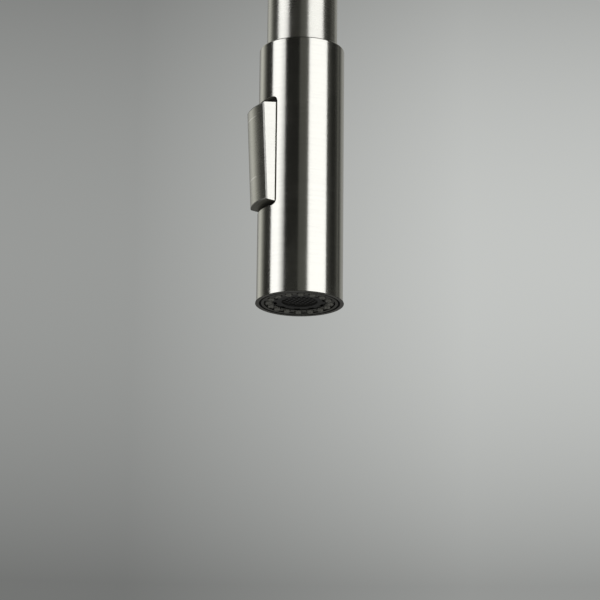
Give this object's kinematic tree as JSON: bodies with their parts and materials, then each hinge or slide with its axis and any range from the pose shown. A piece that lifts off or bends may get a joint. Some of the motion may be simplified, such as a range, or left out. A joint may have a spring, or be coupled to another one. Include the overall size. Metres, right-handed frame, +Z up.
{
  "type": "pull-down kitchen tap spray head",
  "caption": "Round pull-down spray head with a side rocker, docked on the straight end of its spout tube; slides out, swivels and changes between stream and spray.",
  "frame": {"origin": "centre of the spout tube's upper cut end", "axes": "+Z up along the tube and the head; the rocker faces -Y; water leaves towards -Z"},
  "size_m": [0.0358, 0.0399, 0.1493],
  "materials": {
    "tube_steel": "fine brushing round the tube",
    "shell_steel": "fine brushing round the head",
    "rocker_steel": "brushed face, smoother sides",
    "sleeve_plastic": "moulded, matt",
    "magnet_ferrite": "pressed and ground",
    "inlet_brass": "turned",
    "collar_plastic": "moulded, matt",
    "ring_steel": "zinc plated",
    "seal_rubber": "greased rubber",
    "filter_steel": "stainless mesh in a frame",
    "washer_plastic": "moulded acetal",
    "check_plastic": "moulded acetal",
    "spring_steel": "stainless wire",
    "core_plastic": "moulded, matt",
    "pin_steel": "ground",
    "seat_brass": "turned",
    "divider_plastic": "moulded, matt",
    "aerator_plastic": "moulded, matt",
    "mat_rubber": "soft moulded silicone",
    "face_plastic": "moulded, satin",
    "lever_plastic": "moulded, matt",
    "stem_brass": "turned"
  },
  "bodies": {
    "root": {"spout_tube": "tube_steel", "docking_sleeve": "sleeve_plastic", "dock_magnet": "magnet_ferrite"},
    "inlet": {"swivel_inlet": "inlet_brass", "docking_collar": "collar_plastic", "dock_steel_ring": "ring_steel", "inlet_filter": "filter_steel", "inlet_o_rings": "seal_rubber", "swivel_washer": "washer_plastic", "check_valve_cage": "check_plastic", "check_spring": "spring_steel"},
    "check": {"check_poppet": "check_plastic", "check_seal": "seal_rubber"},
    "head": {"outer_shell": "shell_steel", "valve_body": "core_plastic", "rocker_pin": "pin_steel", "diverter_seat": "seat_brass", "spray_divider": "divider_plastic", "divider_seal": "seal_rubber", "flow_restrictor": "aerator_plastic", "aerator_seal": "seal_rubber", "aerator_housing": "aerator_plastic", "aerator_insert": "aerator_plastic", "nozzle_mat": "mat_rubber", "spray_face": "face_plastic"},
    "rocker": {"rocker_button": "rocker_steel", "rocker_lever": "lever_plastic"},
    "diverter": {"diverter_spool": "stem_brass", "diverter_o_rings": "seal_rubber", "diverter_disc_seals": "seal_rubber"}
  },
  "joints": [
    {"name": "pull_out", "type": "slide", "parent": "root", "child": "inlet", "axis": [0, 0, -1], "range_m": [0, 0.03]},
    {"name": "head_swivel", "type": "hinge", "parent": "inlet", "child": "head", "pos_m": [0, 0, -0.0404], "axis": [0, 0, 1], "continuous": true},
    {"name": "rocker_tilt", "type": "hinge", "parent": "head", "child": "rocker", "pos_m": [0, -0.0105, -0.0882], "axis": [-1, 0, 0], "range_deg": [0, 5.6]},
    {"name": "diverter_shift", "type": "slide", "parent": "head", "child": "diverter", "axis": [0, 0, -1], "range_m": [0, 0.00132]},
    {"name": "check_open", "type": "slide", "parent": "inlet", "child": "check", "axis": [0, 0, -1], "range_m": [0, 0.002], "stiffness_N_per_m": 150, "springref_m": -0.002, "deforming": ["check_spring"]}
  ],
  "couplings": [
    {"joint": "rocker_tilt", "follows": "diverter_shift", "rad_per_m": 74.104}
  ]
}
